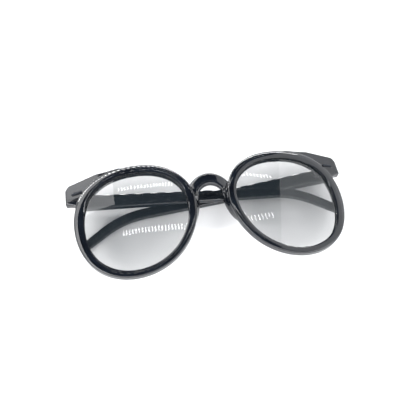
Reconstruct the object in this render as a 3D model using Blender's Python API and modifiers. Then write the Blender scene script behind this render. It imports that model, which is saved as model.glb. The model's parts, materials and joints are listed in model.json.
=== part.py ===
"""Clear-lens glasses with round plastic rims, lying face up on their two folded temples.

The front is modelled in its own frame: x to the wearer's left, y to the brow, z out of the face.
The depth of a point is its distance behind the front surface, so z = -depth.
One root empty then turns and lifts the front until the lower temple lies flat on z = 0.
Each temple is modelled opened, about its hinge, and its own empty on the hinge axis folds it.
"""

import math

import bmesh
import bpy
from mathutils import Matrix, Vector

MM = 0.001
SIDES = {"left": 1, "right": -1}

# Lens opening: a circle pulled a little oval, triangular and square, each at its own angle.
LENS_RADIUS = 26.0 * MM
LENS_GAP = 24.6 * MM
OVAL, OVAL_ANGLE = 0.8 * MM, math.radians(124)
TRIANGLE, TRIANGLE_ANGLE = 0.75 * MM, math.radians(38)
SQUARE, SQUARE_ANGLE = 0.35 * MM, math.radians(45)
OUTLINE_STEPS = 72
WRAP_RADIUS = 400 * MM

# Rim section and lens. The rim is wider by the lift at the top, narrower by it at the bottom, and
# wider by the flare towards the temple.
RIM_WIDTH = 4.2 * MM
RIM_LIFT = 0.8 * MM
RIM_FLARE = 0.8 * MM
FRONT_THICKNESS = 4.0 * MM
RIM_CHAMFER = 0.8 * MM
LIP_CHAMFER = 0.5 * MM
LENS_THICKNESS = 1.8 * MM
LENS_BULGE = 1.2 * MM
GROOVE_DEPTH = 0.9 * MM
GAP = 0.3 * MM

# Bridge: an arch between the rims, bent back to the nose pads. Its middle line passes this far
# inside the lens openings.
ARCH_INSET = 2.5 * MM
ARCH_RISE = 7.0 * MM
ARCH_HEIGHT = 6.8 * MM
ARCH_END_ANGLE = math.radians(20)
ARCH_BEND_RADIUS = 24 * MM
ARCH_STEPS = 16

# Nose pads, moulded on the rims.
PAD_INSET = 2.2 * MM
PAD_Y = 2.0 * MM
PAD_DEPTH = 4.6 * MM
PAD_HALF_SIZES = (2.9 * MM, 10.0 * MM, 4.0 * MM)
PAD_LEAN = math.radians(16)
PAD_SPLAY = math.radians(28)

# End pieces: a brow outside each rim, and a wall turned back to the temple.
END_REACH = 7.5 * MM
BROW_START = (5.7 * MM, 4.1 * MM)
BROW_END_DROP = 0.8 * MM
BROW_CUTS = 6
BROW_ROOT_ANGLES = (20, 35, 50, 65, 78)
CORNER_SIZE = (2.8 * MM, 4.2 * MM)
BROW_INSET = 0.12 * MM
HINGE_DROP = 6.5 * MM
WALL_MARGIN = 0.4 * MM
WALL_ROOT = 1.2 * MM
EDGE_ROUND = 0.7 * MM

# Temples.
TEMPLE_HEIGHT = 8.0 * MM
TEMPLE_MID_HEIGHT = 5.6 * MM
TEMPLE_TIP_HEIGHT = 4.8 * MM
TEMPLE_THICKNESS = 4.2 * MM
TIP_THICKNESS = 2.8 * MM
TEMPLE_ROUND = 1.3 * MM
TEMPLE_STRAIGHT = 99.5 * MM
TEMPLE_DROOP = math.radians(4.75)
TIP_ANGLE = math.radians(34)
BEND_RADIUS = 45 * MM
TIP_LENGTH = 12.5 * MM
PATH_STEPS = (12, 10, 6)
# The rounded tip, as (reach in half heights, size) past the end of the centre line.
TIP_ROUNDING = ((0.45, 0.97), (0.8, 0.8), (1.0, 0.5))
NEST_GAP = 0.64 * MM

# Hinges. The leaf on the front is let into its back.
KNUCKLE_RADIUS = 1.3 * MM
PIN_RADIUS = 0.55 * MM
PIN_CLEARANCE = 0.08 * MM
MIDDLE_KNUCKLE = 1.5 * MM
OUTER_KNUCKLE = 1.6 * MM
KNUCKLE_GAP = 0.2 * MM
LEAF_THICKNESS = 0.9 * MM
LEAF_GAP = 0.2 * MM
LEAF_LENGTH = 5.8 * MM
LEAF_LET_IN = 0.83 * MM
WEB_INSET = 0.1 * MM
SCREW_HEAD_RADIUS = 1.15 * MM
SCREW_HEAD = 0.6 * MM
SCREW_SLOT = 0.3 * MM
ROUND_STEPS = 24

# Trim: an oval metal inlay in each end piece.
TRIM_LENGTH = 5.2 * MM
TRIM_HEIGHT = 1.3 * MM
TRIM_DEPTH = 1.0 * MM
TRIM_GAP = 0.15 * MM
TRIM_INSET = 6.0 * MM
TRIM_RISE = 0.7 * MM
TRIM_TURN = math.radians(-8)

# Sizes that follow from the ones above.
LENS_CENTRE_X = LENS_GAP / 2 + LENS_RADIUS
HALF_WIDTH = LENS_CENTRE_X + LENS_RADIUS + END_REACH
ARCH_RADIUS = LENS_GAP / 2 - ARCH_INSET
BROW_START_X = LENS_CENTRE_X + BROW_START[0]
BROW_START_Y = LENS_RADIUS + BROW_START[1]
BROW_END_Y = LENS_RADIUS - BROW_END_DROP
HINGE_Y = BROW_END_Y - HINGE_DROP
WALL_HEIGHT = TEMPLE_HEIGHT + 2 * WALL_MARGIN
WALL_THICKNESS = TEMPLE_THICKNESS
PIN_INSET = KNUCKLE_RADIUS + 2 * LEAF_GAP
HINGE_X = HALF_WIDTH - WALL_THICKNESS - PIN_INSET
POCKET_DEPTH = HINGE_X * HINGE_X / (2 * WRAP_RADIUS) + FRONT_THICKNESS - LEAF_LET_IN
HINGE_DEPTH = POCKET_DEPTH + KNUCKLE_RADIUS + LEAF_THICKNESS + 2 * LEAF_GAP
KNUCKLE_SPAN = MIDDLE_KNUCKLE + 2 * (KNUCKLE_GAP + OUTER_KNUCKLE)
BORE_RADIUS = PIN_RADIUS + PIN_CLEARANCE
# Folded, the temples lie level, one on the other where they cross, which tilts the front.
FOLD_SLANT = math.asin(((TEMPLE_THICKNESS + TIP_THICKNESS) / 2 + NEST_GAP) / (2 * HINGE_X))
TEMPLE_TURNS = {
    "left": math.pi / 2 - FOLD_SLANT,
    "right": math.pi / 2 + FOLD_SLANT,
}

PLASTIC = ((0.16, 0.18, 0.20, 1), 0.12, 0.0)
LENS = ((0.80, 0.86, 0.90, 1), 0.02, 0.0)
STEEL = ((0.62, 0.63, 0.65, 1), 0.25, 1.0)
DARK_METAL = ((0.10, 0.10, 0.11, 1), 0.30, 1.0)


def clear_scene():
    for obj in list(bpy.data.objects):
        bpy.data.objects.remove(obj, do_unlink=True)
    for group in list(bpy.data.collections):
        bpy.data.collections.remove(group)


def new_collection(name):
    group = bpy.data.collections.new(name)
    bpy.context.scene.collection.children.link(group)
    return group


def new_material(name, finish):
    colour, roughness, metallic = finish
    material = bpy.data.materials.new(name)
    material.use_nodes = True
    shader = material.node_tree.nodes["Principled BSDF"]
    shader.inputs["Base Color"].default_value = colour
    shader.inputs["Roughness"].default_value = roughness
    shader.inputs["Metallic"].default_value = metallic
    return material


def smooth_by_angle(mesh):
    """Smooth shading, with every edge sharper than 35 degrees kept crisp."""
    shape = bmesh.new()
    shape.from_mesh(mesh)
    for face in shape.faces:
        face.smooth = True
    for edge in shape.edges:
        edge.smooth = len(edge.link_faces) == 2 and edge.calc_face_angle(0) < math.radians(35)
    shape.to_mesh(mesh)
    shape.free()


def mesh_object(name, shape, group):
    """The object made of a bmesh, with its normals facing out."""
    bmesh.ops.recalc_face_normals(shape, faces=shape.faces)
    mesh = bpy.data.meshes.new(name)
    shape.to_mesh(mesh)
    shape.free()
    smooth_by_angle(mesh)
    obj = bpy.data.objects.new(name, mesh)
    group.objects.link(obj)
    return obj


def helper(obj):
    """Marks an object that only shapes another one."""
    obj.hide_render = True
    obj.display_type = "WIRE"
    return obj


def shape_of_curve(curve):
    """A curve's evaluated surface as a welded bmesh; the curve is removed."""
    obj = bpy.data.objects.new(curve.name, curve)
    bpy.context.scene.collection.objects.link(obj)
    graph = bpy.context.evaluated_depsgraph_get()
    mesh = bpy.data.meshes.new_from_object(obj.evaluated_get(graph))
    bpy.data.objects.remove(obj)
    shape = bmesh.new()
    shape.from_mesh(mesh)
    bpy.data.meshes.remove(mesh)
    bmesh.ops.remove_doubles(shape, verts=shape.verts, dist=0.001 * MM)
    return shape


def flat_curve(name, points):
    curve = bpy.data.curves.new(name, "CURVE")
    spline = curve.splines.new("POLY")
    spline.points.add(len(points) - 1)
    for spot, (x, y) in zip(spline.points, points):
        spot.co = (x, y, 0, 1)
    spline.use_cyclic_u = True
    curve.dimensions = "2D"
    return curve


def prism(name, points, low, high):
    """A flat outline filled and extruded from z = low to z = high."""
    curve = flat_curve(name, points)
    curve.fill_mode = "BOTH"
    curve.extrude = (high - low) / 2
    shape = shape_of_curve(curve)
    bmesh.ops.translate(shape, verts=shape.verts, vec=(0, 0, (high + low) / 2))
    return shape


def box(low, high):
    shape = bmesh.new()
    bmesh.ops.create_cube(shape, size=1)
    size = [b - a for a, b in zip(low, high)]
    middle = [(a + b) / 2 for a, b in zip(low, high)]
    bmesh.ops.scale(shape, verts=shape.verts, vec=size)
    bmesh.ops.translate(shape, verts=shape.verts, vec=middle)
    return shape


def rod(radius, low, high):
    """A cylinder about the y axis."""
    shape = bmesh.new()
    bmesh.ops.create_cone(
        shape, cap_ends=True, segments=ROUND_STEPS, radius1=radius, radius2=radius, depth=high - low
    )
    turn = Matrix.Rotation(math.pi / 2, 4, "X")
    bmesh.ops.transform(shape, verts=shape.verts, matrix=Matrix.Translation((0, (low + high) / 2, 0)) @ turn)
    return shape


def mirrored(shape, side):
    if side < 0:
        bmesh.ops.scale(shape, verts=shape.verts, vec=(-1, 1, 1))
    return shape


def moved(shape, matrix):
    bmesh.ops.transform(shape, verts=shape.verts, matrix=matrix)
    return shape


def wrapped(shape):
    """Bends a flat front shape round the face."""
    for vert in shape.verts:
        vert.co.z -= wrap_depth(vert.co.x)
    return shape


def wrap_depth(x):
    return x * x / (2 * WRAP_RADIUS)


def add_boolean(obj, other, operation):
    modifier = obj.modifiers.new(other.name, "BOOLEAN")
    modifier.operation = operation
    modifier.solver = "EXACT"
    modifier.object = other


def add_bevel(obj, width, segments=2):
    modifier = obj.modifiers.new("rounded_edges", "BEVEL")
    modifier.width = width
    modifier.segments = segments
    modifier.limit_method = "ANGLE"
    modifier.angle_limit = math.radians(40)


def lens_radius(angle):
    """The lens opening's radius for the left lens, with angle 0 towards the temple and 90 degrees up."""
    return (
        LENS_RADIUS
        + OVAL * math.cos(2 * (angle - OVAL_ANGLE))
        + TRIANGLE * math.cos(3 * (angle - TRIANGLE_ANGLE))
        + SQUARE * math.cos(4 * (angle - SQUARE_ANGLE))
    )


def outline_point(angle, offset):
    reach = lens_radius(angle) + offset
    return LENS_CENTRE_X + reach * math.cos(angle), reach * math.sin(angle)


def outline(offset):
    """Points half a step away from the rim's own, so that no cut runs along one of its edges."""
    angles = [math.tau * (step + 0.5) / OUTLINE_STEPS for step in range(OUTLINE_STEPS)]
    return [outline_point(angle, offset) for angle in angles]


def rim_width(angle):
    return RIM_WIDTH + RIM_LIFT * math.sin(angle) + RIM_FLARE * max(math.cos(angle), 0) ** 2


def rim_section(outside):
    """The rim's section as (distance outside the opening, depth), with the groove that holds the lens."""
    groove = LENS_THICKNESS + 2 * GAP
    top = (FRONT_THICKNESS - groove) / 2
    back = FRONT_THICKNESS
    return [
        (0, LIP_CHAMFER),
        (LIP_CHAMFER, 0),
        (outside - RIM_CHAMFER, 0),
        (outside, RIM_CHAMFER),
        (outside, back - RIM_CHAMFER),
        (outside - RIM_CHAMFER, back),
        (LIP_CHAMFER, back),
        (0, back - LIP_CHAMFER),
        (0, top + groove),
        (GROOVE_DEPTH, top + groove),
        (GROOVE_DEPTH, top),
        (0, top),
    ]


def rim(name, side, group):
    """The rim section carried round the lens opening."""
    shape = bmesh.new()
    rings = []
    for step in range(OUTLINE_STEPS):
        angle = math.tau * step / OUTLINE_STEPS
        ring = []
        for offset, depth in rim_section(rim_width(angle)):
            x, y = outline_point(angle, offset)
            ring.append(shape.verts.new((x, y, -depth)))
        rings.append(ring)
    count = len(rings[0])
    for here, after in zip(rings, rings[1:] + rings[:1]):
        for i in range(count):
            j = (i + 1) % count
            shape.faces.new((here[i], here[j], after[j], after[i]))
    return mesh_object(name, wrapped(mirrored(shape, side)), group)


def arch_point(angle, radius):
    return radius * math.cos(angle), ARCH_RISE + radius * math.sin(angle)


def bridge(group):
    span = math.pi - 2 * ARCH_END_ANGLE
    angles = [ARCH_END_ANGLE + span * step / ARCH_STEPS for step in range(ARCH_STEPS + 1)]
    upper = [arch_point(angle, ARCH_RADIUS + ARCH_HEIGHT / 2) for angle in angles]
    lower = [arch_point(angle, ARCH_RADIUS - ARCH_HEIGHT / 2) for angle in reversed(angles)]
    shape = prism("bridge", upper + lower, -FRONT_THICKNESS + BROW_INSET, -BROW_INSET)
    for vert in shape.verts:
        vert.co.z -= vert.co.x * vert.co.x / (2 * ARCH_BEND_RADIUS)
    obj = helper(mesh_object("bridge", wrapped(shape), group))
    add_bevel(obj, RIM_CHAMFER)
    return obj


def nose_pad(name, side, group):
    shape = bmesh.new()
    bmesh.ops.create_uvsphere(shape, u_segments=24, v_segments=12, radius=1)
    bmesh.ops.scale(shape, verts=shape.verts, vec=PAD_HALF_SIZES)
    turn = Matrix.Rotation(PAD_LEAN, 4, "Z") @ Matrix.Rotation(PAD_SPLAY, 4, "Y")
    place = Matrix.Translation((LENS_GAP / 2 - PAD_INSET, PAD_Y, -PAD_DEPTH))
    return helper(mesh_object(name, mirrored(moved(shape, place @ turn), side), group))


def brow_corner(outer, top):
    """The rounded outer corner, as four points of a quarter oval."""
    wide, tall = CORNER_SIZE
    angles = [math.radians(90 - 30 * step) for step in range(4)]
    return [(outer - wide + wide * math.cos(turn), top - tall + tall * math.sin(turn)) for turn in angles]


def brow(name, side, group):
    """The flat corner outside the rim, from its top to the temple's wall."""
    low = HINGE_Y - WALL_HEIGHT / 2 + BROW_INSET
    outer = HALF_WIDTH - BROW_INSET
    root = [outline_point(math.radians(angle), RIM_WIDTH / 2) for angle in BROW_ROOT_ANGLES]
    points = [(BROW_START_X, BROW_START_Y)] + brow_corner(outer, BROW_END_Y) + [(outer, low)] + root
    shape = prism(name, points, -FRONT_THICKNESS + BROW_INSET, -BROW_INSET)
    for cut in range(1, BROW_CUTS):
        place = BROW_START_X + (outer - BROW_START_X) * cut / BROW_CUTS
        whole = shape.verts[:] + shape.edges[:] + shape.faces[:]
        bmesh.ops.bisect_plane(shape, geom=whole, plane_co=(place, 0, 0), plane_no=(1, 0, 0))
    obj = helper(mesh_object(name, wrapped(mirrored(shape, side)), group))
    add_bevel(obj, EDGE_ROUND)
    return obj


def hinge_wall(name, side, group):
    """The end piece's wall, turned back from the front to the temple's butt end."""
    outer = HALF_WIDTH
    inner = HALF_WIDTH - WALL_THICKNESS
    start = wrap_depth(outer) + WALL_ROOT
    low = HINGE_Y - WALL_HEIGHT / 2
    shape = box((inner, low, -HINGE_DEPTH), (outer, HINGE_Y + WALL_HEIGHT / 2, -start))
    obj = helper(mesh_object(name, mirrored(shape, side), group))
    add_bevel(obj, EDGE_ROUND)
    return obj


def pocket_cutter(name, side, group):
    """Flattens the back of the front where the hinge leaf sits."""
    half = KNUCKLE_SPAN / 2 + GAP
    outer = HALF_WIDTH - WALL_THICKNESS
    inner = HINGE_X - LEAF_LENGTH
    shape = box((inner, HINGE_Y - half, -HINGE_DEPTH), (outer, HINGE_Y + half, -POCKET_DEPTH))
    return helper(mesh_object(name, mirrored(shape, side), group))


def oval(length, height):
    """The outline of an oval with round ends."""
    radius = height / 2
    reach = length / 2 - radius
    points = []
    for centre, start in ((reach, -90), (-reach, 90)):
        for step in range(9):
            angle = math.radians(start + 180 * step / 8)
            points.append((centre + radius * math.cos(angle), radius * math.sin(angle)))
    return points


def trim_place():
    x = HALF_WIDTH - TRIM_INSET
    place = Matrix.Translation((x, HINGE_Y + TRIM_RISE, -wrap_depth(x) - BROW_INSET))
    turn = Matrix.Rotation(x / WRAP_RADIUS, 4, "Y") @ Matrix.Rotation(TRIM_TURN, 4, "Z")
    return place @ turn


def trim_cutter(name, side, group):
    grow = 2 * TRIM_GAP
    shape = prism(name, oval(TRIM_LENGTH + grow, TRIM_HEIGHT + grow), -TRIM_DEPTH - TRIM_GAP, TRIM_DEPTH)
    return helper(mesh_object(name, mirrored(moved(shape, trim_place()), side), group))


def trim(name, side, group):
    shape = prism(name, oval(TRIM_LENGTH, TRIM_HEIGHT), -TRIM_DEPTH, 0)
    return mesh_object(name, mirrored(moved(shape, trim_place()), side), group)


def front_frame(group, helpers):
    """Two grooved rims, the bridge, the nose pads and the end pieces, joined into one moulding."""
    obj = rim("front_frame", 1, group)
    add_boolean(obj, helper(rim("rim_right", -1, helpers)), "UNION")
    arch = bridge(helpers)
    add_boolean(obj, arch, "UNION")
    for word, side in SIDES.items():
        space = lens_space("lens_space_" + word, side, helpers)
        add_boolean(arch, space, "DIFFERENCE")
        pad = nose_pad("nose_pad_" + word, side, helpers)
        add_boolean(pad, space, "DIFFERENCE")
        add_boolean(obj, pad, "UNION")
        add_boolean(obj, brow("brow_" + word, side, helpers), "UNION")
        add_boolean(obj, hinge_wall("hinge_wall_" + word, side, helpers), "UNION")
        add_boolean(obj, pocket_cutter("hinge_pocket_" + word, side, helpers), "DIFFERENCE")
        add_boolean(obj, trim_cutter("trim_pocket_" + word, side, helpers), "DIFFERENCE")
    return obj


def lens_space(name, side, group):
    """The space inside the middle of the rim, which keeps the nose pad out of the lens opening."""
    shape = prism(name, outline(RIM_WIDTH / 2), -2 * POCKET_DEPTH, POCKET_DEPTH)
    return helper(mesh_object(name, mirrored(shape, side), group))


def lens(name, side, group):
    """A bulged disc with the opening's outline, edged into the groove."""
    edge = GROOVE_DEPTH - GAP
    shape = bmesh.new()
    bmesh.ops.create_uvsphere(shape, u_segments=OUTLINE_STEPS, v_segments=10, radius=1)
    below = [vert for vert in shape.verts if vert.co.z < -0.001]
    bmesh.ops.delete(shape, geom=below, context="VERTS")
    middle = FRONT_THICKNESS / 2
    for vert in shape.verts:
        spread = math.hypot(vert.co.x, vert.co.y)
        angle = math.atan2(vert.co.y, vert.co.x)
        reach = spread * (lens_radius(angle) + edge)
        bulge = LENS_BULGE * (1 - spread * spread)
        vert.co = (LENS_CENTRE_X + reach * math.cos(angle), reach * math.sin(angle), bulge - middle)
    obj = mesh_object(name, wrapped(mirrored(shape, side)), group)
    modifier = obj.modifiers.new("thickness", "SOLIDIFY")
    modifier.thickness = LENS_THICKNESS
    modifier.offset = 0
    return obj


def temple_path():
    """The temple's centre line, opened: (distance back from the butt, drop, slope, share of its length)."""
    bend = TIP_ANGLE - TEMPLE_DROOP
    lengths = (TEMPLE_STRAIGHT, bend * BEND_RADIUS, TIP_LENGTH)
    whole = sum(lengths)
    back, drop, done = 0.0, 0.0, 0.0
    points = [(back, drop, TEMPLE_DROOP, 0.0)]
    for length, count, turn in zip(lengths, PATH_STEPS, (0, bend, 0)):
        for step in range(count):
            before = points[-1][2]
            slope = before + turn / count
            middle = (before + slope) / 2
            back += length / count * math.cos(middle)
            drop += length / count * math.sin(middle)
            done += length / count
            points.append((back, drop, slope, done / whole))
    return points


def temple_height(share):
    straight_share = TEMPLE_STRAIGHT / (
        TEMPLE_STRAIGHT + (TIP_ANGLE - TEMPLE_DROOP) * BEND_RADIUS + TIP_LENGTH
    )
    if share < straight_share:
        part = share / straight_share
        return TEMPLE_HEIGHT + (TEMPLE_MID_HEIGHT - TEMPLE_HEIGHT) * part
    part = (share - straight_share) / (1 - straight_share)
    return TEMPLE_MID_HEIGHT + (TEMPLE_TIP_HEIGHT - TEMPLE_MID_HEIGHT) * part


def temple_section(height, thickness):
    """A rounded rectangle as (inward from the outer face, up), with its outer face flat."""
    round_edge = min(TEMPLE_ROUND, 0.4 * thickness)
    points = []
    corners = (
        (thickness - round_edge, height / 2 - round_edge, 0),
        (round_edge, height / 2 - round_edge, 90),
        (round_edge, -height / 2 + round_edge, 180),
        (thickness - round_edge, -height / 2 + round_edge, 270),
    )
    for inward, up, start in corners:
        for step in range(4):
            angle = math.radians(start + 30 * step)
            points.append((inward + round_edge * math.cos(angle), up + round_edge * math.sin(angle)))
    return points


def temple(name, side, group):
    """The temple opened, about its hinge: a section tapering along its centre line, with a rounded tip."""
    shape = bmesh.new()
    rings = []
    path = temple_path()
    stations = [(back, drop, slope, share, 1.0) for back, drop, slope, share in path]
    back, drop, slope, _ = path[-1]
    for along, size in TIP_ROUNDING:
        reach = along * TEMPLE_TIP_HEIGHT / 2
        stations.append((back + reach * math.cos(slope), drop + reach * math.sin(slope), slope, 1.0, size))
    outer = WALL_THICKNESS + PIN_INSET
    for back, drop, slope, share, size in stations:
        height = temple_height(share) * size
        thickness = TEMPLE_THICKNESS + (TIP_THICKNESS - TEMPLE_THICKNESS) * share
        tilt = 0 if share == 0 else slope
        ring = []
        for inward, up in temple_section(height, thickness):
            y = -drop + up * math.cos(tilt)
            z = -GAP - back - up * math.sin(tilt)
            ring.append(shape.verts.new((outer - inward, y, z)))
        rings.append(ring)
    count = len(rings[0])
    for here, after in zip(rings, rings[1:]):
        for i in range(count):
            j = (i + 1) % count
            shape.faces.new((here[i], here[j], after[j], after[i]))
    shape.faces.new(rings[0])
    shape.faces.new(rings[-1])
    return mesh_object(name, mirrored(shape, side), group)


def knuckle_spans():
    """The heights of the outer knuckles and of the middle one, along the pin."""
    half = MIDDLE_KNUCKLE / 2
    start = half + KNUCKLE_GAP
    return [(start, start + OUTER_KNUCKLE), (-start - OUTER_KNUCKLE, -start)], [(-half, half)]


def leaf(name, side, spans, plate, web_of, group, helpers):
    """A hinge leaf: a plate, with a web and a bored knuckle for each span."""
    obj = mesh_object(name, mirrored(plate, side), group)
    for number, (low, high) in enumerate(spans):
        web_shape = web_of(low + WEB_INSET, high - WEB_INSET)
        web = helper(mesh_object(f"{name}_web_{number}", mirrored(web_shape, side), helpers))
        knuckle = helper(mesh_object(f"{name}_knuckle_{number}", rod(KNUCKLE_RADIUS, low, high), helpers))
        add_boolean(obj, web, "UNION")
        add_boolean(obj, knuckle, "UNION")
    bore = helper(mesh_object(f"{name}_bore", rod(BORE_RADIUS, -KNUCKLE_SPAN, KNUCKLE_SPAN), helpers))
    add_boolean(obj, bore, "DIFFERENCE")
    return obj


def front_leaf(name, side, group, helpers):
    """The leaf on the back of the front. Its origin is on the pin."""
    outer_spans, _ = knuckle_spans()
    half = KNUCKLE_SPAN / 2 - 2 * WEB_INSET
    top = HINGE_DEPTH - POCKET_DEPTH - LEAF_GAP
    right = KNUCKLE_RADIUS - WEB_INSET
    plate = box((-LEAF_LENGTH + GAP, -half, top - LEAF_THICKNESS), (right, half, top))

    def web_of(low, high):
        return box((WEB_INSET - right, low, 0), (right - WEB_INSET, high, top - LEAF_THICKNESS / 2))

    return leaf(name, side, outer_spans, plate, web_of, group, helpers)


def temple_leaf(name, side, group, helpers):
    """The leaf on the temple's inner face, opened. Its origin is on the pin."""
    _, middle_span = knuckle_spans()
    half = KNUCKLE_SPAN / 2 - KNUCKLE_GAP
    outer = PIN_INSET - LEAF_GAP
    inner = outer - LEAF_THICKNESS
    start = KNUCKLE_RADIUS + LEAF_GAP
    plate = box((inner, -half, -LEAF_LENGTH), (outer, half, -start))

    def web_of(low, high):
        return box((0, low, -start - LEAF_THICKNESS), (outer - WEB_INSET, high, 0))

    return leaf(name, side, middle_span, plate, web_of, group, helpers)


def screw(name, group, helpers):
    """The hinge screw: a shank through the knuckles and a slotted head on top."""
    half = KNUCKLE_SPAN / 2
    seat = half + KNUCKLE_GAP / 2
    obj = mesh_object(name, rod(PIN_RADIUS, -half, seat + SCREW_HEAD / 2), group)
    head = helper(mesh_object(name + "_head", rod(SCREW_HEAD_RADIUS, seat, seat + SCREW_HEAD), helpers))
    slot_half = SCREW_SLOT / 2
    far = 2 * SCREW_HEAD_RADIUS
    slot_box = box((-far, seat + SCREW_HEAD / 2, -slot_half), (far, seat + 2 * SCREW_HEAD, slot_half))
    slot = helper(mesh_object(name + "_slot", slot_box, helpers))
    add_boolean(obj, head, "UNION")
    add_boolean(obj, slot, "DIFFERENCE")
    return obj


def empty(name, parent, group):
    obj = bpy.data.objects.new(name, None)
    obj.empty_display_size = 5 * MM
    obj.parent = parent
    group.objects.link(obj)
    return obj


def set_material(objs, material):
    for obj in objs:
        obj.data.materials.clear()
        obj.data.materials.append(material)


def parent_to(objs, parent):
    for obj in objs:
        obj.parent = parent


def build_side(word, side, root, group, helpers):
    """One side's lens, trim, temple and hinge, each under the empty that places it."""
    glass = lens("lens_" + word, side, group)
    inlay = trim("end_piece_trim_" + word, side, group)
    parent_to([glass, inlay], root)

    fixed = empty("hinge_seat_" + word, root, group)
    fixed.location = (side * HINGE_X, HINGE_Y, -HINGE_DEPTH)
    turning = empty("hinge_axis_" + word, root, group)
    turning.location = fixed.location
    turning.rotation_euler = (0, side * TEMPLE_TURNS[word], 0)

    before = set(helpers.objects)
    seat_leaf = front_leaf("front_hinge_leaf_" + word, side, group, helpers)
    pin = screw("hinge_screw_" + word, group, helpers)
    on_seat = set(helpers.objects) - before
    parent_to([seat_leaf, pin, *on_seat], fixed)

    before = set(helpers.objects)
    arm = temple("temple_" + word, side, group)
    arm_leaf = temple_leaf("temple_hinge_leaf_" + word, side, group, helpers)
    on_arm = set(helpers.objects) - before
    parent_to([arm, arm_leaf, *on_arm], turning)

    return {"lens": [glass], "trim": [inlay], "steel": [seat_leaf, pin, arm_leaf], "plastic": [arm]}


def place_root(root, group):
    """Turns the front so that the left temple's outer face is level, at z = 0, under the origin's centre."""
    outer_depth = HINGE_DEPTH + WALL_THICKNESS + PIN_INSET
    root.rotation_euler = (0, FOLD_SLANT, 0)
    bpy.context.view_layer.update()
    graph = bpy.context.evaluated_depsgraph_get()
    corners = []
    for obj in group.objects:
        if obj.type == "MESH":
            done = obj.evaluated_get(graph)
            corners += [done.matrix_world @ vert.co for vert in done.data.vertices]
    low = Vector(min(corner[axis] for corner in corners) for axis in range(3))
    high = Vector(max(corner[axis] for corner in corners) for axis in range(3))
    face = Matrix.Rotation(FOLD_SLANT, 4, "Y") @ Vector((HINGE_X, 0, -outer_depth))
    root.location = (-(low.x + high.x) / 2, -(low.y + high.y) / 2, -face.z)


def main():
    clear_scene()
    group = new_collection("blue_light_glasses")
    helpers = new_collection("cutters")
    helpers.hide_render = True
    root = empty("front", None, group)
    frame = front_frame(group, helpers)
    parent_to([frame, *helpers.objects], root)
    found = {"lens": [], "trim": [], "steel": [], "plastic": [frame]}
    for word, side in SIDES.items():
        for kind, objs in build_side(word, side, root, group, helpers).items():
            found[kind] += objs
    set_material(found["plastic"], new_material("smoke_plastic", PLASTIC))
    set_material(found["lens"], new_material("clear_lens", LENS))
    set_material(found["steel"], new_material("hinge_steel", STEEL))
    set_material(found["trim"], new_material("dark_trim", DARK_METAL))
    place_root(root, group)


main()
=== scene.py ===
"""Smoke-grey glasses with clear round lenses, folded and lying face up, in plain studio light.

Shapes of the front are worked out in its own frame, in millimetres: x to the wearer's left,
y to the brow, and depth d behind the front surface, which bends round the face.
"""

import itertools
import json
import math

import bmesh
import bpy
import numpy as np
from mathutils import Matrix, Vector


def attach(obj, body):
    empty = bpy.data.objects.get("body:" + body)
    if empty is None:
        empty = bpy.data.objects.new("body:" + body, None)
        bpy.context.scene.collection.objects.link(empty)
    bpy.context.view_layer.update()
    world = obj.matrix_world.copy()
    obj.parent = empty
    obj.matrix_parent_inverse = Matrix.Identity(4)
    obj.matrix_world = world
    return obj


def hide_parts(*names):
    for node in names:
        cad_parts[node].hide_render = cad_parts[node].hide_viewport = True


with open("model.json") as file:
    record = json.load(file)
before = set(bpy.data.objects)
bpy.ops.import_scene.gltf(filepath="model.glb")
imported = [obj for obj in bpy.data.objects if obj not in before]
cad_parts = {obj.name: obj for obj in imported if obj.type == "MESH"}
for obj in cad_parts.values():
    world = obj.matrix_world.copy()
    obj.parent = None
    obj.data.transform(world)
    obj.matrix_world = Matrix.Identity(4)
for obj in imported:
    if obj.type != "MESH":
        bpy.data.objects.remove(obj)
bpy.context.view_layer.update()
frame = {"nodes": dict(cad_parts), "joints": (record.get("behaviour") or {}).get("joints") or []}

MM = 0.001
SIDES = {"left": 1, "right": -1}

# Front, in millimetres and degrees: the same sizes as the CAD solids.
LENS_RADIUS, LENS_GAP = 26.0, 24.6
OVAL, TRIANGLE, SQUARE = (0.8, 124), (0.75, 38), (0.35, 45)
WRAP_RADIUS = 400
RIM_WIDTH, RIM_LIFT, RIM_FLARE = 4.2, 0.8, 0.8
FRONT_THICKNESS = 4.0
LENS_THICKNESS, LENS_BULGE = 1.8, 1.2
GROOVE_DEPTH, GAP = 0.9, 0.3
ARCH_INSET, ARCH_RISE, ARCH_HEIGHT, ARCH_END_ANGLE = 2.5, 7.0, 6.8, 20
PAD_INSET, PAD_Y, PAD_DEPTH = 2.2, 2.0, 4.6
PAD_HALF_SIZES, PAD_LEAN, PAD_SPLAY = (2.9, 10.0, 4.0), 16, 28
END_REACH = 7.5
BROW_START, BROW_END_DROP, CORNER_SIZE = (5.7, 4.1), 0.8, (2.8, 4.2)
HINGE_DROP, WALL_MARGIN, WALL_ROOT = 6.5, 0.4, 1.2
TEMPLE_HEIGHTS, TEMPLE_THICKNESS, TIP_THICKNESS = (8.0, 5.6, 4.8), 4.2, 2.8
TEMPLE_STRAIGHT, BEND_RADIUS, TIP_LENGTH = 99.5, 45, 12.5
TEMPLE_DROOP, TIP_ANGLE = math.radians(4.75), math.radians(34)
KNUCKLE_RADIUS, LEAF_THICKNESS, LEAF_GAP, LEAF_LENGTH = 1.3, 0.9, 0.2, 5.8
LEAF_LET_IN, KNUCKLE_SPAN = 0.83, 5.1
TRIM_SIZE, TRIM_DEPTH, TRIM_GAP = (5.2, 1.3), 1.0, 0.15
TRIM_INSET, TRIM_RISE, TRIM_TURN = 6.0, 0.7, -8

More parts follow.
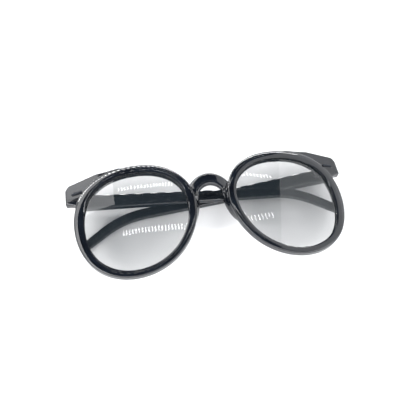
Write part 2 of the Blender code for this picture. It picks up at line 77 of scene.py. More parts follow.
LENS_X = LENS_GAP / 2 + LENS_RADIUS
HALF_WIDTH = LENS_X + LENS_RADIUS + END_REACH
HINGE_Y = LENS_RADIUS - BROW_END_DROP - HINGE_DROP
WALL_HALF = TEMPLE_HEIGHTS[0] / 2 + WALL_MARGIN
PIN_INSET = KNUCKLE_RADIUS + 2 * LEAF_GAP
HINGE_X = HALF_WIDTH - TEMPLE_THICKNESS - PIN_INSET
POCKET_DEPTH = HINGE_X**2 / (2 * WRAP_RADIUS) + FRONT_THICKNESS - LEAF_LET_IN
HINGE_DEPTH = POCKET_DEPTH + KNUCKLE_RADIUS + LEAF_THICKNESS + 2 * LEAF_GAP

# Finish of the moulding: how far edges are rounded, and how softly its parts run together.
OUTER_ROUND, LIP_ROUND, BRIDGE_ROUND, WALL_ROUND = 0.7, 0.3, 1.75, 0.8
WALL_END_ROUND, GROOVE_ROUND, POCKET_ROUND = 0.5, 0.35, 0.3
BROW_FILL, BRIDGE_FILL, PAD_FILL, WALL_FILL = 1.6, 0.7, 1.2, 0.8
GROOVE_EASE, POCKET_EASE, TRIM_EASE = 0.12, 0.15, 0.15
# The shrinks draw a part in from its CAD outline, to leave room for the fills.
RIM_SHRINK, WALL_SHRINK, BROW_SHRINK = 0.03, 0.05, 0.3
LIP_REACH = 12
TRIM_SEAT_GAP, TRIM_SEAT_DROP = 0.4 * TRIM_GAP, 0.25
BRIDGE_SETBACK, BRIDGE_BEND = 0.35, 24
# The rim's bevel drops by BEVEL_DROP times BEVEL_SHARE at the sides, with BEVEL_SWING added to
# the share at the top and taken from it at the bottom.
BEVEL_DROP, BEVEL_START, BEVEL_SHARE, BEVEL_SWING = 0.7, 0.45, 0.65, 0.35
LIP_BEVEL, LIP_DROP = 2.0, 0.36
BAR_BEVEL, BAR_BEVEL_RISE = 1.3, 0.215
NET_STEP = 0.32
NET_LOW, NET_HIGH = (-HALF_WIDTH - 1, -31.2, -1), (HALF_WIDTH + 1, 31.2, 10.5)

pins = {joint["child"]: Vector(joint["pos_m"]) for joint in frame["joints"]}
across = pins["left_temple"] - pins["right_temple"]
SLANT = math.atan2(-across.z, across.x)
ROOT = (
    Matrix.Translation((pins["left_temple"] + pins["right_temple"]) / 2)
    @ Matrix.Rotation(SLANT, 4, "Y")
    @ Matrix.Scale(MM, 4)
    @ Matrix.Translation((0, -HINGE_Y, HINGE_DEPTH))
)


# ---------------------------------------------------------------- shape fields


def soft_min(a, b, reach):
    """The lesser of two fields, with the crease between them filled over this reach."""
    share = np.clip(0.5 + 0.5 * (b - a) / reach, 0, 1)
    return b + (a - b) * share - reach * share * (1 - share)


def soft_max(a, b, reach):
    return -soft_min(-a, -b, reach)


def rounded(a, b, radius):
    """The overlap of two half spaces, with the edge between them rounded."""
    a, b = a + radius, b + radius
    return np.hypot(np.maximum(a, 0), np.maximum(b, 0)) + np.minimum(np.maximum(a, b), 0) - radius


def lens_radius(angle):
    waves = ((2, OVAL), (3, TRIANGLE), (4, SQUARE))
    return LENS_RADIUS + sum(size * np.cos(n * (angle - math.radians(at))) for n, (size, at) in waves)


def rim_width(angle):
    return RIM_WIDTH + RIM_LIFT * np.sin(angle) + RIM_FLARE * np.maximum(np.cos(angle), 0) ** 2


def wrap(x):
    return x * x / (2 * WRAP_RADIUS)


def polygon_field(x, y, corners):
    """Signed distance to a flat polygon, negative inside."""
    corners = np.array(corners, float)
    nearest, inside = np.inf, False
    for (ax, ay), (bx, by) in zip(corners, np.roll(corners, -1, axis=0)):
        ex, ey = bx - ax, by - ay
        share = np.clip(((x - ax) * ex + (y - ay) * ey) / (ex * ex + ey * ey), 0, 1)
        nearest = np.minimum(nearest, np.hypot(x - ax - share * ex, y - ay - share * ey))
        crossed = ((ay > y) != (by > y)) & (x < ex * (y - ay) / (ey or 1e-9) + ax)
        inside = inside ^ crossed
    return np.where(inside, -nearest, nearest)


def brow_outline():
    """The corner outside the rim, from the rim's top to the end of the front, and back down."""
    wide, tall = CORNER_SIZE
    outer, top = HALF_WIDTH - BROW_SHRINK, LENS_RADIUS - BROW_END_DROP
    turns = np.radians(np.linspace(90, 0, 9))
    corner = [(outer - wide + wide * math.cos(t), top - tall + tall * math.sin(t)) for t in turns]
    start = (LENS_X + BROW_START[0], LENS_RADIUS + BROW_START[1])
    middle = (start[0] + 12, start[1] - 1.1)
    low = HINGE_Y - WALL_HALF
    foot = [(outer, low + 0.6), (outer - 0.8, low)]
    under_rim = [(LENS_X + 22, low - 4.5), (LENS_X, 15)]
    return [start, middle] + corner + foot + under_rim


BROW = brow_outline()


def trim_frame(x, y):
    """Place on the end piece in the inlay's own axes."""
    turn = math.radians(TRIM_TURN)
    dx, dy = x - (HALF_WIDTH - TRIM_INSET), y - (HINGE_Y + TRIM_RISE)
    return dx * math.cos(turn) + dy * math.sin(turn), dy * math.cos(turn) - dx * math.sin(turn)


def pad_field(x, y, depth):
    """The nose pad: an ellipsoid leaning on the rim, spread towards the cheek."""
    lean, splay = math.radians(PAD_LEAN), math.radians(PAD_SPLAY)
    dx, dy, dz = x - (LENS_GAP / 2 - PAD_INSET), y - PAD_Y, PAD_DEPTH - depth
    dx, dy = dx * math.cos(lean) + dy * math.sin(lean), dy * math.cos(lean) - dx * math.sin(lean)
    dx, dz = dx * math.cos(splay) - dz * math.sin(splay), dz * math.cos(splay) + dx * math.sin(splay)
    a, b, c = PAD_HALF_SIZES
    near = np.sqrt((dx / a) ** 2 + (dy / b) ** 2 + (dz / c) ** 2)
    slope = np.sqrt((dx / a**2) ** 2 + (dy / b**2) ** 2 + (dz / c**2) ** 2)
    return near * (near - 1) / np.maximum(slope, 1e-6)


def front_field(x, y, d):
    """The whole moulding, negative inside, with d the depth behind the bent front surface."""
    x = np.abs(x)
    angle = np.arctan2(y, x - LENS_X)
    out = np.hypot(x - LENS_X, y) - lens_radius(angle)
    half = FRONT_THICKNESS / 2
    width = rim_width(angle)
    bevel = np.clip((out / width - BEVEL_START) / (1 - BEVEL_START), 0, 1)
    lip = np.clip(1 - out / LIP_BEVEL, 0, 1)
    drop = BEVEL_DROP * (BEVEL_SHARE + BEVEL_SWING * np.sin(angle))
    sheet = np.maximum(drop * bevel**2 + LIP_DROP * lip**2 - d, d - FRONT_THICKNESS)
    depth = d + wrap(x)

    outline = soft_min(out - width + RIM_SHRINK, polygon_field(x, y, BROW), BROW_FILL)
    solid = rounded(outline, sheet, OUTER_ROUND)

    ray = math.radians(ARCH_END_ANGLE)
    arch = np.abs(np.hypot(x, y - ARCH_RISE) - (LENS_GAP / 2 - ARCH_INSET)) - ARCH_HEIGHT / 2
    arch = np.maximum(arch, x * math.sin(ray) - (y - ARCH_RISE) * math.cos(ray))
    bent = d - x * x / (2 * BRIDGE_BEND)
    bridge = rounded(arch, np.maximum(BRIDGE_SETBACK - bent, bent - FRONT_THICKNESS), BRIDGE_ROUND)
    solid = soft_min(solid, bridge, BRIDGE_FILL)
    solid = soft_min(solid, pad_field(x, y, depth), PAD_FILL)

    middle = HALF_WIDTH - WALL_SHRINK - TEMPLE_THICKNESS / 2
    side = rounded(np.abs(x - middle) - TEMPLE_THICKNESS / 2, np.abs(y - HINGE_Y) - WALL_HALF, WALL_ROUND)
    ends = np.maximum(wrap(HALF_WIDTH) + WALL_ROOT - depth, depth - HINGE_DEPTH)
    solid = soft_min(solid, rounded(side, ends, WALL_END_ROUND), WALL_FILL)

    opening = rounded(-out, sheet, LIP_ROUND)
    solid = np.maximum(solid, np.where(depth < LIP_REACH, np.minimum(opening, np.maximum(-out, -1)), -1))
    solid = np.maximum(solid, -out)
    groove = rounded(out - GROOVE_DEPTH, np.abs(d - half) - LENS_THICKNESS / 2 - GAP, GROOVE_ROUND)
    solid = soft_max(solid, -groove, GROOVE_EASE)

    pocket_x = np.abs(x - (HALF_WIDTH - TEMPLE_THICKNESS + HINGE_X - LEAF_LENGTH) / 2)
    pocket_x = pocket_x - (HALF_WIDTH - TEMPLE_THICKNESS - HINGE_X + LEAF_LENGTH) / 2
    pocket = rounded(pocket_x, np.abs(y - HINGE_Y) - KNUCKLE_SPAN / 2 - GAP, POCKET_ROUND)
    solid = soft_max(solid, -np.maximum(pocket, POCKET_DEPTH - depth), POCKET_EASE)

    along, up = trim_frame(x, y)
    radius = TRIM_SIZE[1] / 2 + TRIM_SEAT_GAP
    reach = TRIM_SIZE[0] / 2 - TRIM_SIZE[1] / 2
    oval = np.hypot(np.maximum(np.abs(along) - reach, 0), up) - radius
    return soft_max(solid, -np.maximum(oval, d - TRIM_DEPTH - TRIM_SEAT_DROP), TRIM_EASE)


# ---------------------------------------------------------------- meshes


def slopes(field, points, reach=0.02):
    """The field's gradient at each point."""
    found = np.empty_like(points)
    for axis in range(3):
        shift = np.zeros(3)
        shift[axis] = reach
        ahead, behind = points + shift, points - shift
        found[:, axis] = (field(*ahead.T) - field(*behind.T)) / (2 * reach)
    return found


SETTLING_ROUNDS, SETTLING_REACH = 6, 0.3


def surface_net(field, low, high, step):
    """Points and quads of the surface where the field is 0, settled onto it."""
    axes = [np.arange(a, b + step, step) for a, b in zip(low, high)]
    value = field(*np.meshgrid(*axes, indexing="ij", sparse=True))
    inside = value < 0
    cells = [count - 1 for count in value.shape]

    def corner(array, offset):
        return array[tuple(slice(o, o + n) for o, n in zip(offset, cells))]

    offsets = list(itertools.product((0, 1), repeat=3))
    filled = sum(corner(inside, offset).astype(np.int8) for offset in offsets)
    active = (filled > 0) & (filled < 8)
    number = np.full(cells, -1, np.int64)
    number[active] = np.arange(active.sum())
    total = np.zeros((active.sum(), 3))
    hits = np.zeros(active.sum())
    for start, axis in itertools.product(offsets, range(3)):
        if start[axis]:
            continue
        end = tuple(1 if i == axis else start[i] for i in range(3))
        a, b = corner(value, start)[active], corner(value, end)[active]
        crossed = (a < 0) != (b < 0)
        spot = np.tile(np.array(start, float), (crossed.sum(), 1))
        spot[:, axis] = a[crossed] / (a[crossed] - b[crossed])
        total[crossed] += spot
        hits[crossed] += 1
    points = np.array(low) + (np.argwhere(active) + total / hits[:, None]) * step

    quads = []
    for axis in range(3):
        u, v = (axis + 1) % 3, (axis + 2) % 3
        here = [slice(1, n) for n in cells]
        here[axis] = slice(0, cells[axis])
        after = list(here)
        after[axis] = slice(1, cells[axis] + 1)
        a, b = inside[tuple(here)], inside[tuple(after)]
        ring = []
        for back_u, back_v in ((1, 1), (0, 1), (0, 0), (1, 0)):
            at = [slice(0, n) for n in cells]
            at[u] = slice(1 - back_u, cells[u] - back_u)
            at[v] = slice(1 - back_v, cells[v] - back_v)
            ring.append(number[tuple(at)])
        ring = np.stack(ring, -1)
        quads += [ring[a & ~b], ring[~a & b][:, ::-1]]

    for _ in range(SETTLING_ROUNDS):
        slope = slopes(field, points)
        move = field(*points.T) / np.maximum((slope**2).sum(axis=1), 0.25)
        points -= np.clip(move, -SETTLING_REACH * step, SETTLING_REACH * step)[:, None] * slope
    return points, np.concatenate(quads)


def mesh_of(name, points, faces):
    mesh = bpy.data.meshes.new(name)
    mesh.from_pydata([tuple(p) for p in points], [], [tuple(int(i) for i in f) for f in faces])
    mesh.update()
    return mesh


def place(name, mesh, material, body, nodes):
    """Puts a finished piece in the scene, on its body, in place of its CAD nodes."""
    mesh.materials.clear()
    mesh.materials.append(material)
    obj = bpy.data.objects.new(name, mesh)
    bpy.context.scene.collection.objects.link(obj)
    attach(obj, body)
    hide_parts(*nodes)
    return obj


def front_mesh():
    """The moulding's surface, with its normals taken from the field, so that gloss runs true over it."""
    points, faces = surface_net(front_field, NET_LOW, NET_HIGH, NET_STEP)
    faces = faces[:, ::-1]  # depth runs backwards, which turns every face round
    slope = slopes(front_field, points)
    x, y, d = points.T
    flat = np.stack([x, y, -d - wrap(x)], -1)
    normals = np.stack([slope[:, 0] - slope[:, 2] * x / WRAP_RADIUS, slope[:, 1], -slope[:, 2]], -1)
    turn = np.array(Matrix.Rotation(SLANT, 3, "Y"))
    normals = normals @ turn.T
    normals /= np.linalg.norm(normals, axis=1)[:, None]
    world = np.array(ROOT)
    mesh = mesh_of("front", flat @ world[:3, :3].T + world[:3, 3], faces)
    mesh.polygons.foreach_set("use_smooth", np.ones(len(mesh.polygons), bool))
    mesh.normals_split_custom_set_from_vertices([tuple(n) for n in normals])
    return mesh


def finished(shape, name, matrix, sharp=40):
    """A bmesh moved into the scene's frame, facing out, smooth but for its sharp edges."""
    bmesh.ops.transform(shape, verts=shape.verts, matrix=matrix)
    bmesh.ops.recalc_face_normals(shape, faces=shape.faces)
    for face in shape.faces:
        face.smooth = True
    for edge in shape.edges:
        edge.smooth = len(edge.link_faces) == 2 and edge.calc_face_angle(0) < math.radians(sharp)
    mesh = bpy.data.meshes.new(name)
    shape.to_mesh(mesh)
    shape.free()
    return mesh


def loft(rings):
    """A skin over closed rings of points, with flat ends."""
    shape = bmesh.new()
    rows = [[shape.verts.new(point) for point in ring] for ring in rings]
    count = len(rows[0])
    for here, after in zip(rows, rows[1:]):
        for i in range(count):
            j = (i + 1) % count
            shape.faces.new((here[i], here[j], after[j], after[i]))
    shape.faces.new(rows[0])
    shape.faces.new(rows[-1])
    return shape


LENS_STEPS, LENS_EDGE_BEVEL = 160, 0.22


def lens_mesh(name, side):
    """A bulged disc with polished faces and a bevelled edge, held in the groove."""
    edge = GROOVE_DEPTH - GAP
    half, bevel = LENS_THICKNESS / 2, LENS_EDGE_BEVEL
    shares = [0.04, 0.12, 0.22, 0.32, 0.42, 0.52, 0.62, 0.71, 0.79, 0.86, 0.92, 0.965]
    rows = [(share, 0, half) for share in shares] + [(1, -bevel, half), (1, 0, half - bevel)]
    rows += [(1, 0, bevel - half), (1, -bevel, -half)] + [(share, 0, -half) for share in reversed(shares)]
    rings = []
    for share, inset, rise in rows:
        ring = []
        for step in range(LENS_STEPS):
            angle = math.tau * step / LENS_STEPS
            reach = share * (lens_radius(angle) + edge) + inset
            x, y = LENS_X + reach * math.cos(angle), reach * math.sin(angle)
            z = LENS_BULGE * (1 - share**2) - FRONT_THICKNESS / 2 + rise - wrap(x)
            ring.append((side * x, y, z))
        rings.append(ring)
    return finished(loft(rings), name, ROOT)


# Rings along the temple's straight, its bend and its tip, and round its rounded end.
STATION_COUNTS, END_STEPS, END_TURN = (48, 30, 14), 10, math.radians(86)
TEMPLE_EDGE_ROUND = 0.9
# The rounded butt, as (distance back, how far the section is inset).
BUTT = ((0.0, 0.70), (0.10, 0.32), (0.28, 0.10), (0.55, 0.0))


def temple_stations():
    """(back, drop, slope, share of the length) along the temple's centre line, opened."""
    bend = TIP_ANGLE - TEMPLE_DROOP
    lengths = (TEMPLE_STRAIGHT, bend * BEND_RADIUS, TIP_LENGTH)
    back, drop, done, slope = 0.0, 0.0, 0.0, TEMPLE_DROOP
    found = [(back, drop, slope, 0.0)]
    for length, count, turn in zip(lengths, STATION_COUNTS, (0, bend, 0)):
        for _ in range(count):
            middle = slope + turn / count / 2
            slope += turn / count
            back += length / count * math.cos(middle)
            drop += length / count * math.sin(middle)
            done += length / count
            found.append((back, drop, slope, done / sum(lengths)))
    return found, TEMPLE_STRAIGHT / sum(lengths)


def temple_ring(height, thickness, edge):
    """The section as (inward from the outer face, up): flat outside, and bevelled towards the face."""
    half, slope = height / 2, min(BAR_BEVEL, 0.3 * height)
    drop = slope * BAR_BEVEL_RISE
    bevel = [(thickness, half - slope - edge * 0.4), (thickness - drop * 0.12, half - slope)]
    bevel.append((thickness - drop, half - 0.45 * edge))
    upper = list(bevel)
    for step in range(1, 9):
        angle = math.radians(20 + 70 * step / 8)
        shift = thickness - drop - edge * math.cos(math.radians(20))
        upper.append((shift + edge * math.cos(angle), half - edge + edge * math.sin(angle)))
    for step in range(9):
        angle = math.radians(90 + 90 * step / 8)
        upper.append((edge + edge * math.cos(angle), half - edge + edge * math.sin(angle)))
    return upper + [(inward, -up) for inward, up in reversed(upper)]


def temple_mesh(name, side, matrix):
    """The temple: a bar that thins and narrows backwards, bends down behind the ear and ends round."""
    stations, bend_at = temple_stations()
    front, middle, tip = TEMPLE_HEIGHTS
    path = [(back, back * math.tan(TEMPLE_DROOP), TEMPLE_DROOP, 0.0, inset, 1.0) for back, inset in BUTT]
    path += [(*station, 0.0, 1.0) for station in stations[1:]]
    back, drop, slope, _ = stations[-1]
    for step in range(1, END_STEPS + 1):
        turn = END_TURN * step / END_STEPS
        reach = math.sin(turn) * tip / 2
        spot = (back + reach * math.cos(slope), drop + reach * math.sin(slope))
        path.append((*spot, slope, 1.0, 0.0, math.cos(turn) ** 0.9))
    rings = []
    for back, drop, slope, share, inset, size in path:
        if share < bend_at:
            height = front + (middle - front) * share / bend_at
        else:
            height = middle + (tip - middle) * (share - bend_at) / (1 - bend_at)
        thickness = TEMPLE_THICKNESS + (TIP_THICKNESS - TEMPLE_THICKNESS) * share
        height = height * size - 2 * inset
        depth = thickness * (0.55 + 0.45 * size) - 2 * inset
        low = inset + (thickness * (1 - size) * 0.2)
        edge = min(TEMPLE_EDGE_ROUND, 0.4 * depth, 0.4 * height)
        tilt = 0 if share == 0 else slope
        ring = []
        for inward, up in temple_ring(height, depth, edge):
            x = TEMPLE_THICKNESS + PIN_INSET - low - inward
            y = -drop + up * math.cos(tilt)
            z = -GAP - back - up * math.sin(tilt)
            ring.append((side * x, y, z))
        rings.append(ring)
    return finished(loft(rings), name, matrix, 50)


def trim_mesh(name, side):
    """The oval inlay: a low dome with a rounded edge."""
    length, height = TRIM_SIZE
    place_at = Matrix.Translation((HALF_WIDTH - TRIM_INSET, HINGE_Y + TRIM_RISE, 0))
    place_at = place_at @ Matrix.Rotation(math.radians(TRIM_TURN), 4, "Z")
    dome = [(0.0, -0.45), (0.05, -0.3), (0.14, -0.2), (0.3, -0.14), (0.48, -0.12)]
    rings = []
    for inset, rise in [(0.0, -TRIM_DEPTH)] + dome:
        radius = height / 2 - inset
        reach = length / 2 - height / 2
        ring = []
        for centre, start in ((reach, -90), (-reach, 90)):
            for step in range(17):
                angle = math.radians(start + 180 * step / 16)
                spot = place_at @ Vector((centre + radius * math.cos(angle), radius * math.sin(angle), 0))
                ring.append((side * spot.x, spot.y, rise - wrap(spot.x)))
        rings.append(ring)
    return finished(loft(rings), name, ROOT)


def machined(node, edge):
    """A CAD node's shape with its flat faces made whole and its edges broken."""
    shape = bmesh.new()
    shape.from_mesh(frame["nodes"][node].data)
    bmesh.ops.remove_doubles(shape, verts=shape.verts, dist=1e-6)
    bmesh.ops.dissolve_limit(shape, angle_limit=math.radians(1), verts=shape.verts, edges=shape.edges)
    crisp = [e for e in shape.edges if len(e.link_faces) == 2 and e.calc_face_angle(0) > math.radians(40)]
    bmesh.ops.bevel(
        shape, geom=crisp, offset=edge, segments=2, profile=0.5, affect="EDGES", clamp_overlap=True
    )
    return finished(shape, node, Matrix.Identity(4), 30)


# ---------------------------------------------------------------- materials


class Tree:
    """A material's nodes, made and linked in few words."""

    def __init__(self, name):
        self.material = bpy.data.materials.new(name)
        self.material.use_nodes = True
        self.nodes = self.material.node_tree.nodes
        self.links = self.material.node_tree.links
        self.shader = self.nodes["Principled BSDF"]

    def add(self, kind, sockets=(), **settings):
        node = self.nodes.new("ShaderNode" + kind)
        for key, value in settings.items():
            setattr(node, key, value)
        for key, value in dict(sockets).items():
            if isinstance(value, bpy.types.NodeSocket):
                self.links.new(value, node.inputs[key])
            else:
                node.inputs[key].default_value = value
        return node

    def set(self, **values):
        for key, value in values.items():
            socket = self.shader.inputs[key.replace("_", " ")]
            if isinstance(value, bpy.types.NodeSocket):
                self.links.new(value, socket)
            else:
                socket.default_value = value

    def noise(self, place_at, scale, detail=2.0, stretch=(1, 1, 1)):
        spot = self.add("Mapping", {"Vector": place_at, "Scale": stretch})
        return self.add(
            "TexNoise", {"Vector": spot.outputs["Vector"], "Scale": scale, "Detail": detail}
        ).outputs["Fac"]

    def ramp(self, value, low, high, start=0.0, end=1.0):
        return self.add(
            "MapRange", {"Value": value, "From Min": start, "From Max": end, "To Min": low, "To Max": high}
        ).outputs["Result"]

    def mix(self, share, first, second):
        node = self.add("Mix", data_type="RGBA")
        for key, value in zip((0, 6, 7), (share, first, second)):
            if isinstance(value, bpy.types.NodeSocket):
                self.links.new(value, node.inputs[key])
            else:
                node.inputs[key].default_value = value
        return node.outputs[2]

    def bump(self, height, distance, strength=1.0, before=None):
        sockets = {"Height": height, "Distance": distance, "Strength": strength}
        if before is not None:
            sockets["Normal"] = before
        return self.add("Bump", sockets).outputs["Normal"]


def smoke_plastic(name, dark, pale):
    """Clear smoke-grey moulded plastic: a faint flow of pigment, gentle sink marks, fine rub marks."""
    tree = Tree(name)
    spot = tree.add("TexCoord").outputs["Object"]
    cloud = tree.noise(spot, 140, 3.0)
    flow = tree.noise(spot, 60, 2.0, (1, 4, 1))
    colour = tree.mix(tree.ramp(cloud, 0, 1, 0.35, 0.65), dark, pale)
    rubs = tree.noise(spot, 900, 2.0, (1, 7, 1))
    waves = tree.bump(flow, 0.00012, 0.15)
    normal = tree.bump(rubs, 0.000004, 0.08, waves)
    tree.set(
        Base_Color=colour,
        Roughness=tree.ramp(rubs, 0.02, 0.06, 0.35, 0.75),
        IOR=1.5,
        Specular_IOR_Level=0.9,
        Transmission_Weight=0.5,
        Normal=normal,
    )
    return tree.material


LENS_ALPHA = 0.235


def clear_lens(name, gloss, coat):
    """Clear plastic: nearly colourless, with faint wipe marks in its polish."""
    tree = Tree(name)
    spot = tree.add("TexCoord").outputs["Object"]
    wipes = tree.noise(spot, 220, 3.0, (1, 3, 1))
    tint = tree.mix(tree.noise(spot, 30), (0.012, 0.018, 0.022, 1), (0.020, 0.028, 0.032, 1))
    tree.set(
        Base_Color=tint,
        Roughness=tree.ramp(wipes, 0.0, 0.003, 0.3, 0.8),
        IOR=1.5,
        Specular_IOR_Level=gloss,
        Coat_Weight=coat,
        Coat_IOR=2.0,
        Coat_Roughness=0.0,
        Alpha=LENS_ALPHA,
        Normal=tree.bump(tree.noise(spot, 45, 1.0), 0.00001, 0.2),
    )
    return tree.material


def metal(name, colour, rough, brush):
    """Turned metal: fine marks along the brushing, and dulled patches."""
    tree = Tree(name)
    spot = tree.add("TexCoord").outputs["Object"]
    lines = tree.noise(spot, 2600, 2.0, brush)
    patches = tree.noise(spot, 500, 3.0)
    shade = tree.mix(patches, colour, tuple(0.8 * c for c in colour[:3]) + (1,))
    tree.set(
        Base_Color=shade,
        Metallic=1.0,
        Roughness=tree.ramp(patches, rough, rough + 0.15),
        Normal=tree.bump(lines, 0.000004, 0.5),
    )
    return tree.material


# ---------------------------------------------------------------- pieces

MACHINED_EDGE = 0.06 * MM

plastic = smoke_plastic("smoke_plastic_front", (0.002, 0.003, 0.006, 1), (0.007, 0.010, 0.016, 1))
# The temples use a lighter copy of the front's smoke plastic. The extra lightness is painted light, standing
# in for the light that reaches the arms through the lenses.
temple_plastic_with_painted_light = smoke_plastic("smoke_plastic_temple_painted_light", (0.006, 0.008, 0.012, 1), (0.016, 0.020, 0.026, 1))
glass = clear_lens("clear_lens_front", 1.0, 1.0)
glass_back = clear_lens("clear_lens_antireflex_back", 0.1, 0.0)
steel = metal("satin_hinge_steel", (0.62, 0.63, 0.65, 1), 0.2, (1, 12, 1))
dark = metal("gunmetal_trim", (0.035, 0.038, 0.045, 1), 0.25, (12, 1, 1))

place("front_moulding", front_mesh(), plastic, "front", ["front_frame"])
for word, side in SIDES.items():
    lens_node, trim_node, arm_node = f"lens_{word}", f"end_piece_trim_{word}", f"temple_{word}"
    arm_body = f"{word}_temple"
    lens = place(f"clear_lens_{word}", lens_mesh(lens_node, side), glass, "front", [lens_node])
    lens.data.materials.append(glass_back)
    for face in lens.data.polygons:
        face.material_index = int(face.normal.z < 0)
    place(f"oval_inlay_{word}", trim_mesh(trim_node, side), dark, "front", [trim_node])
    turn = math.pi / 2 - side * abs(SLANT)
    hinge = Matrix.Translation((side * HINGE_X, HINGE_Y, -HINGE_DEPTH)) @ Matrix.Rotation(side * turn, 4, "Y")
    arm = temple_mesh(arm_node, side, ROOT @ hinge)
    # The arm gets the temple copy of the plastic, which is painted lighter as painted light.
    place(f"temple_arm_{word}", arm, temple_plastic_with_painted_light, arm_body, [arm_node])
    for node, body in (
        (f"front_hinge_leaf_{word}", "front"),
        (f"hinge_screw_{word}", "front"),
        (f"temple_hinge_leaf_{word}", arm_body),
    ):
        place(f"{node}_finished", machined(node, MACHINED_EDGE), steel, body, [node])


# ---------------------------------------------------------------- stage


def flat_panel(name, centre, size):
    shape = bmesh.new()
    bmesh.ops.create_grid(shape, x_segments=1, y_segments=1, size=0.5)
    bmesh.ops.scale(shape, verts=shape.verts, vec=(size[0], size[1], 1))
    bmesh.ops.transform(shape, verts=shape.verts, matrix=Matrix.Translation(centre))
    mesh = bpy.data.meshes.new(name)
    shape.to_mesh(mesh)
    shape.free()
    obj = bpy.data.objects.new(name, mesh)
    bpy.context.scene.collection.objects.link(obj)
    return obj


def floor_material():
    tree = Tree("pale_floor")
    spot = tree.add("TexCoord").outputs["Object"]
    grain = tree.noise(spot, 500, 3.0)
    tree.set(
        Base_Color=tree.mix(grain, (0.90, 0.905, 0.91, 1), (0.93, 0.93, 0.93, 1)),
        Roughness=0.75,
        Specular_IOR_Level=0.2,
        Normal=tree.bump(grain, 0.00002, 0.2),
    )
    return tree.material


FLOOR_GAP, FLOOR_SIZE = 0.1 * MM, (2.6, 2.6)
flat_panel("floor", (0, 0, -FLOOR_GAP), FLOOR_SIZE).data.materials.append(floor_material())


def area_light(name, location, target, size, radiance, turn=0.0):
    data = bpy.data.lights.new(name, "AREA")
    data.shape = "RECTANGLE"
    data.size, data.size_y = size
    data.energy = radiance * math.pi * size[0] * size[1]
    obj = bpy.data.objects.new(name, data)
    obj.location = location
    aim = (Vector(target) - Vector(location)).to_track_quat("-Z", "Y").to_matrix().to_4x4()
    obj.rotation_euler = (aim @ Matrix.Rotation(turn, 4, "Z")).to_euler()
    bpy.context.scene.collection.objects.link(obj)


# A lamp's corners, as (share of its width, side of its middle line).
LAMP_CORNERS = ((0, -1), (0, 1), (1, 1), (1, -1))


def lamp_rows(name, radiance, rows):
    """Rows of small lamps along bent lines: (points, gap, width, depth, height) in metres."""
    shape = bmesh.new()
    for points, gap, wide, deep, tall in rows:
        points = [Vector(point) for point in points]
        done = [0.0]
        for start, end in zip(points, points[1:]):
            done.append(done[-1] + (end - start).length)
        for number in range(int(done[-1] / gap)):
            reach = number * gap
            leg = max(i for i, length in enumerate(done[:-1]) if length <= reach)
            share = (reach - done[leg]) / (done[leg + 1] - done[leg])
            spot = points[leg].lerp(points[leg + 1], share)
            corners = [(dx * wide, way * deep / 2, way * tall / 2) for dx, way in LAMP_CORNERS]
            shape.faces.new([shape.verts.new(spot + Vector(corner)) for corner in corners])
    mesh = bpy.data.meshes.new(name)
    shape.to_mesh(mesh)
    shape.free()
    tree = Tree(name)
    tree.set(Base_Color=(0, 0, 0, 1), Emission_Color=(1, 1, 1, 1), Emission_Strength=radiance)
    mesh.materials.append(tree.material)
    obj = bpy.data.objects.new(name, mesh)
    bpy.context.scene.collection.objects.link(obj)


LIGHT_HEIGHT = 0.6
UPPER_LEFT_ROW = ((-0.208, 0.497), (-0.059, 0.477), (0.102, 0.458))
UPPER_RIGHT_ROW = ((0.172, 0.470), (0.282, 0.474), (0.379, 0.483))
LOWER_LEFT_ROW = ((-0.202, 0.262), (-0.035, 0.245), (0.118, 0.239))
LOWER_RIGHT_ROW = ((0.123, 0.227), (0.203, 0.239), (0.296, 0.257))
BACK_ROW = ((-0.8, 0.8, 0.44), (0.7, 0.8, 0.44))

LEFT_GAP, RIGHT_GAP, BACK_GAP = 0.0167, 0.0205, 0.036
CEILING_LAMP = (0.0072, 0.023, 0)
BACK_LAMP = (0.016, 0, 0.12)

overhead = (
    (UPPER_LEFT_ROW, LEFT_GAP),
    (LOWER_LEFT_ROW, LEFT_GAP),
    (UPPER_RIGHT_ROW, RIGHT_GAP),
    (LOWER_RIGHT_ROW, RIGHT_GAP),
)
overhead = [([(x, y, LIGHT_HEIGHT) for x, y in row], gap) for row, gap in overhead]
lamp_rows("ceiling_lamps", 13, [(row, gap, *CEILING_LAMP) for row, gap in overhead])
lamp_rows("back_lamps", 36, [(BACK_ROW, BACK_GAP, *BACK_LAMP)])


def down(x, y):
    """A place at the lights' height, and the spot on the floor right under it."""
    return (x, y, LIGHT_HEIGHT), (x, y, 0)


area_light("left_softbox", *down(-0.545, 0.72), (0.62, 0.62), 3.4)
area_light("left_low_softbox", *down(-0.70, 0.09), (0.5, 0.68), 4.5)
area_light("left_side_softbox", (-1.0, -0.35, 0.65), (0, 0, 0), (0.9, 0.7), 4.0)
area_light("right_side_softbox", (1.0, -0.35, 0.65), (0, 0, 0), (0.9, 0.7), 3.0)

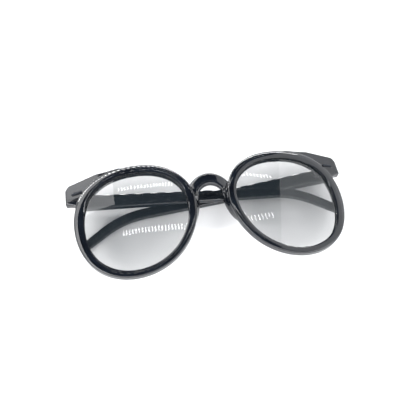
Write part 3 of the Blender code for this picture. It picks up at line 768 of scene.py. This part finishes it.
# The right softbox is placed by the middle of the edge that is nearest to the glasses.
edge_turn = math.radians(-23.4)
edge_middle = Vector((0.405, 0.452, LIGHT_HEIGHT))
right_size = (0.8, 1.1)
outward = Matrix.Rotation(edge_turn, 3, "Z") @ Vector((1, 0, 0))
right_centre = edge_middle + outward * (right_size[0] / 2)
area_light("right_softbox", *down(right_centre.x, right_centre.y), right_size, 1.4, edge_turn)
area_light("front_softbox", (0, -1.1, 0.75), (0, 0, 0), (2.4, 0.9), 2.6)

world = bpy.data.worlds.new("studio")
bpy.context.scene.world = world
world.use_nodes = True
wires = world.node_tree
sky = wires.nodes["Background"]
ways = wires.nodes.new("ShaderNodeTexCoord")
parts = wires.nodes.new("ShaderNodeSeparateXYZ")
rise = wires.nodes.new("ShaderNodeMapRange")
rise.inputs["From Min"].default_value, rise.inputs["From Max"].default_value = 0.32, 0.58
room = wires.nodes.new("ShaderNodeMix")
room.data_type = "RGBA"
room.inputs[6].default_value = (1.6, 1.62, 1.66, 1)
room.inputs[7].default_value = (0.10, 0.115, 0.145, 1)
wires.links.new(ways.outputs["Generated"], parts.inputs[0])
wires.links.new(parts.outputs["Z"], rise.inputs["Value"])
wires.links.new(rise.outputs["Result"], room.inputs[0])
wires.links.new(room.outputs[2], sky.inputs["Color"])

# Where the front lies as the camera sees it: turned about Y, then X, then Z, and then moved.
CAMERA_SHIFT = (0.0032, 0.0011, -0.2445)
CAMERA_TURNS = ((11.6, "Z"), (-28.0, "X"), (9.9, "Y"))

camera_data = bpy.data.cameras.new("camera")
camera_data.lens = 43.27
camera_data.sensor_width = 36
camera_data.clip_start, camera_data.clip_end = 0.01, 20
camera = bpy.data.objects.new("camera", camera_data)
view = Matrix.Translation(CAMERA_SHIFT)
for angle, axis in CAMERA_TURNS:
    view = view @ Matrix.Rotation(math.radians(angle), 4, axis)
origin = ROOT @ Matrix.Scale(1 / MM, 4)
camera.matrix_world = origin @ view.inverted()
bpy.context.scene.collection.objects.link(camera)
bpy.context.scene.camera = camera
bpy.context.scene.view_settings.view_transform = "Standard"
